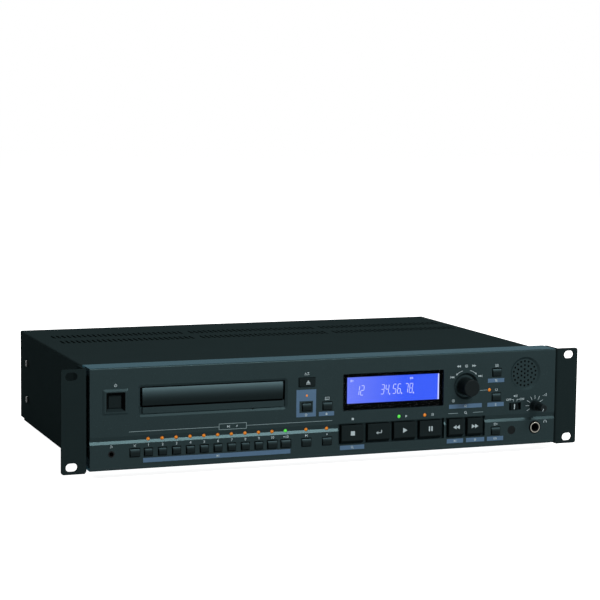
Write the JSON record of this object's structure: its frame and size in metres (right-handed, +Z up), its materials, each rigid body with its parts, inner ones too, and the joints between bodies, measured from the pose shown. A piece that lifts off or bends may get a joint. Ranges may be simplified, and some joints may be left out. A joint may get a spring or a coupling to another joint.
{
  "type": "rack mount disc player",
  "caption": "Low rack-mount disc player with a sliding tray, lit display, rows of small keys, large transport keys, knobs and slotted mounting ears.",
  "frame": {"origin": "centre of the four rack slots, on the rear face of the ears", "axes": "+X to the right as seen from the front, +Y to the back of the case, +Z up"},
  "size_m": [0.4826, 0.309, 0.0943],
  "materials": {
    "panel": "satin moulded plastic",
    "ear_paint": "satin powder coat on folded steel",
    "cover_paint": "satin powder coat on folded steel",
    "zinc_steel": "zinc-plated sheet",
    "rear_paint": "satin powder coat",
    "screw": "black oxide",
    "foot": "moulded",
    "key": "satin moulded caps",
    "door": "glossy moulded",
    "amber_lamp": "diffused resin",
    "green_lamp": "diffused resin",
    "window": "clear acrylic",
    "module": "lit display",
    "knob": "satin moulded",
    "soft_knob": "ribbed soft plastic",
    "dark_plastic": "moulded",
    "sensor": "dark infrared window",
    "board": "laminate with solder mask",
    "tray_plastic": "satin moulded",
    "white_plastic": "acetal"
  },
  "bodies": {
    "case": {"front_panel": "panel", "top_cover": "cover_paint", "bottom_chassis": "zinc_steel", "rear_panel": "rear_paint", "rack_ear_right": "ear_paint", "rack_ear_left": "ear_paint", "feet": "foot", "case_screws": "screw", "amber_lamps": "amber_lamp", "green_lamps": "green_lamp", "display_window": "window", "display_module": "module", "speaker": "dark_plastic", "phones_jack": "dark_plastic", "remote_jack": "dark_plastic", "remote_sensor": "sensor", "front_board": "board", "main_board": "board", "power_supply": "board", "mains_inlet": "dark_plastic", "rear_sockets": "dark_plastic", "drive_chassis": "zinc_steel"},
    "tray": {"disc_tray": "tray_plastic", "tray_door": "door"},
    "lift": {"lift_frame": "dark_plastic"},
    "turntable": {"turntable": "dark_plastic"},
    "sled": {"pickup_sled": "dark_plastic"},
    "gear": {"tray_gear": "white_plastic"},
    "clamper": {"disc_clamper": "white_plastic"},
    "track_slider": {"track_slider": "zinc_steel"},
    "track_knob": {"track_knob": "knob"},
    "level_knob": {"level_knob": "soft_knob"},
    "speaker_switch": {"speaker_switch": "key"},
    "power_button": {"power_button": "key"},
    "number_key_1": {"number_key_1": "key"},
    "number_key_2": {"number_key_2": "key"},
    "number_key_3": {"number_key_3": "key"},
    "number_key_4": {"number_key_4": "key"},
    "number_key_5": {"number_key_5": "key"},
    "number_key_6": {"number_key_6": "key"},
    "number_key_7": {"number_key_7": "key"},
    "number_key_8": {"number_key_8": "key"},
    "number_key_9": {"number_key_9": "key"},
    "number_key_10": {"number_key_10": "key"},
    "number_key_over_10": {"number_key_over_10": "key"},
    "clear_key": {"clear_key": "key"},
    "cue_key": {"cue_key": "key"},
    "flash_key": {"flash_key": "key"},
    "shift_key": {"shift_key": "key"},
    "display_key": {"display_key": "key"},
    "open_close_key": {"open_close_key": "key"},
    "menu_key": {"menu_key": "key"},
    "jog_key": {"jog_key": "key"},
    "play_mode_key": {"play_mode_key": "key"},
    "stop_key": {"stop_key": "key"},
    "call_key": {"call_key": "key"},
    "play_key": {"play_key": "key"},
    "pause_key": {"pause_key": "key"},
    "search_back_key": {"search_back_key": "key"},
    "search_forward_key": {"search_forward_key": "key"}
  },
  "joints": [
    {"name": "tray_slide", "type": "slide", "parent": "case", "child": "tray", "axis": [0, -1, 0], "range_m": [0, 0.138]},
    {"name": "drive_lift", "type": "slide", "parent": "case", "child": "lift", "axis": [0, 0, 1], "range_m": [0, 0.008]},
    {"name": "turntable_spin", "type": "hinge", "parent": "lift", "child": "turntable", "pos_m": [-0.1094, 0.0716, 0.0117], "axis": [0, 0, 1], "continuous": true},
    {"name": "pickup_slide", "type": "slide", "parent": "lift", "child": "sled", "axis": [0, 1, 0], "range_m": [0, 0.034]},
    {"name": "track_spin", "type": "hinge", "parent": "track_slider", "child": "track_knob", "pos_m": [0.1278, -0.0044, 0.0139], "axis": [0, 1, 0], "continuous": true},
    {"name": "track_push", "type": "slide", "parent": "case", "child": "track_slider", "axis": [0, 1, 0], "range_m": [0, 0.0005], "stiffness_N_per_m": 1000, "springref_m": -0.001},
    {"name": "level_turn", "type": "hinge", "parent": "case", "child": "level_knob", "pos_m": [0.1975, -0.0044, -0.0068], "axis": [0, 1, 0], "range_deg": [0, 300]},
    {"name": "power_push", "type": "slide", "parent": "case", "child": "power_button", "axis": [0, 1, 0], "range_m": [0, 0.003], "stiffness_N_per_m": 1000, "springref_m": -0.001},
    {"name": "speaker_switch_slide", "type": "slide", "parent": "case", "child": "speaker_switch", "axis": [1, 0, 0], "range_m": [0, 0.0024]},
    {"name": "stop_key_push", "type": "slide", "parent": "case", "child": "stop_key", "axis": [0, 1, 0], "range_m": [0, 0.0005], "stiffness_N_per_m": 1000, "springref_m": -0.001},
    {"name": "call_key_push", "type": "slide", "parent": "case", "child": "call_key", "axis": [0, 1, 0], "range_m": [0, 0.0005], "stiffness_N_per_m": 1000, "springref_m": -0.001},
    {"name": "play_key_push", "type": "slide", "parent": "case", "child": "play_key", "axis": [0, 1, 0], "range_m": [0, 0.0005], "stiffness_N_per_m": 1000, "springref_m": -0.001},
    {"name": "pause_key_push", "type": "slide", "parent": "case", "child": "pause_key", "axis": [0, 1, 0], "range_m": [0, 0.0005], "stiffness_N_per_m": 1000, "springref_m": -0.001},
    {"name": "search_back_key_push", "type": "slide", "parent": "case", "child": "search_back_key", "axis": [0, 1, 0], "range_m": [0, 0.0005], "stiffness_N_per_m": 1000, "springref_m": -0.001},
    {"name": "search_forward_key_push", "type": "slide", "parent": "case", "child": "search_forward_key", "axis": [0, 1, 0], "range_m": [0, 0.0005], "stiffness_N_per_m": 1000, "springref_m": -0.001},
    {"name": "number_key_1_push", "type": "slide", "parent": "case", "child": "number_key_1", "axis": [0, 1, 0], "range_m": [0, 0.0005], "stiffness_N_per_m": 1000, "springref_m": -0.001},
    {"name": "number_key_2_push", "type": "slide", "parent": "case", "child": "number_key_2", "axis": [0, 1, 0], "range_m": [0, 0.0005], "stiffness_N_per_m": 1000, "springref_m": -0.001},
    {"name": "number_key_3_push", "type": "slide", "parent": "case", "child": "number_key_3", "axis": [0, 1, 0], "range_m": [0, 0.0005], "stiffness_N_per_m": 1000, "springref_m": -0.001},
    {"name": "number_key_4_push", "type": "slide", "parent": "case", "child": "number_key_4", "axis": [0, 1, 0], "range_m": [0, 0.0005], "stiffness_N_per_m": 1000, "springref_m": -0.001},
    {"name": "number_key_5_push", "type": "slide", "parent": "case", "child": "number_key_5", "axis": [0, 1, 0], "range_m": [0, 0.0005], "stiffness_N_per_m": 1000, "springref_m": -0.001},
    {"name": "number_key_6_push", "type": "slide", "parent": "case", "child": "number_key_6", "axis": [0, 1, 0], "range_m": [0, 0.0005], "stiffness_N_per_m": 1000, "springref_m": -0.001},
    {"name": "number_key_7_push", "type": "slide", "parent": "case", "child": "number_key_7", "axis": [0, 1, 0], "range_m": [0, 0.0005], "stiffness_N_per_m": 1000, "springref_m": -0.001},
    {"name": "number_key_8_push", "type": "slide", "parent": "case", "child": "number_key_8", "axis": [0, 1, 0], "range_m": [0, 0.0005], "stiffness_N_per_m": 1000, "springref_m": -0.001},
    {"name": "number_key_9_push", "type": "slide", "parent": "case", "child": "number_key_9", "axis": [0, 1, 0], "range_m": [0, 0.0005], "stiffness_N_per_m": 1000, "springref_m": -0.001},
    {"name": "number_key_10_push", "type": "slide", "parent": "case", "child": "number_key_10", "axis": [0, 1, 0], "range_m": [0, 0.0005], "stiffness_N_per_m": 1000, "springref_m": -0.001},
    {"name": "number_key_over_10_push", "type": "slide", "parent": "case", "child": "number_key_over_10", "axis": [0, 1, 0], "range_m": [0, 0.0005], "stiffness_N_per_m": 1000, "springref_m": -0.001},
    {"name": "clear_key_push", "type": "slide", "parent": "case", "child": "clear_key", "axis": [0, 1, 0], "range_m": [0, 0.0005], "stiffness_N_per_m": 1000, "springref_m": -0.001},
    {"name": "cue_key_push", "type": "slide", "parent": "case", "child": "cue_key", "axis": [0, 1, 0], "range_m": [0, 0.0005], "stiffness_N_per_m": 1000, "springref_m": -0.001},
    {"name": "flash_key_push", "type": "slide", "parent": "case", "child": "flash_key", "axis": [0, 1, 0], "range_m": [0, 0.0005], "stiffness_N_per_m": 1000, "springref_m": -0.001},
    {"name": "shift_key_push", "type": "slide", "parent": "case", "child": "shift_key", "axis": [0, 1, 0], "range_m": [0, 0.0005], "stiffness_N_per_m": 1000, "springref_m": -0.001},
    {"name": "display_key_push", "type": "slide", "parent": "case", "child": "display_key", "axis": [0, 1, 0], "range_m": [0, 0.0005], "stiffness_N_per_m": 1000, "springref_m": -0.001},
    {"name": "open_close_key_push", "type": "slide", "parent": "case", "child": "open_close_key", "axis": [0, 1, 0], "range_m": [0, 0.0005], "stiffness_N_per_m": 1000, "springref_m": -0.001},
    {"name": "menu_key_push", "type": "slide", "parent": "case", "child": "menu_key", "axis": [0, 1, 0], "range_m": [0, 0.0005], "stiffness_N_per_m": 1000, "springref_m": -0.001},
    {"name": "jog_key_push", "type": "slide", "parent": "case", "child": "jog_key", "axis": [0, 1, 0], "range_m": [0, 0.0005], "stiffness_N_per_m": 1000, "springref_m": -0.001},
    {"name": "play_mode_key_push", "type": "slide", "parent": "case", "child": "play_mode_key", "axis": [0, 1, 0], "range_m": [0, 0.0005], "stiffness_N_per_m": 1000, "springref_m": -0.001},
    {"name": "tray_gear_spin", "type": "hinge", "parent": "case", "child": "gear", "pos_m": [-0.1518, 0.0276, 0.0145], "axis": [0, 0, 1], "range_deg": [-5, 830]},
    {"name": "clamper_spin", "type": "hinge", "parent": "case", "child": "clamper", "pos_m": [-0.1094, 0.0716, 0.026], "axis": [0, 0, 1], "continuous": true}
  ],
  "couplings": [
    {"joint": "tray_gear_spin", "follows": "tray_slide", "rad_per_m": 104.17},
    {"joint": "clamper_spin", "follows": "turntable_spin", "ratio": 1}
  ]
}
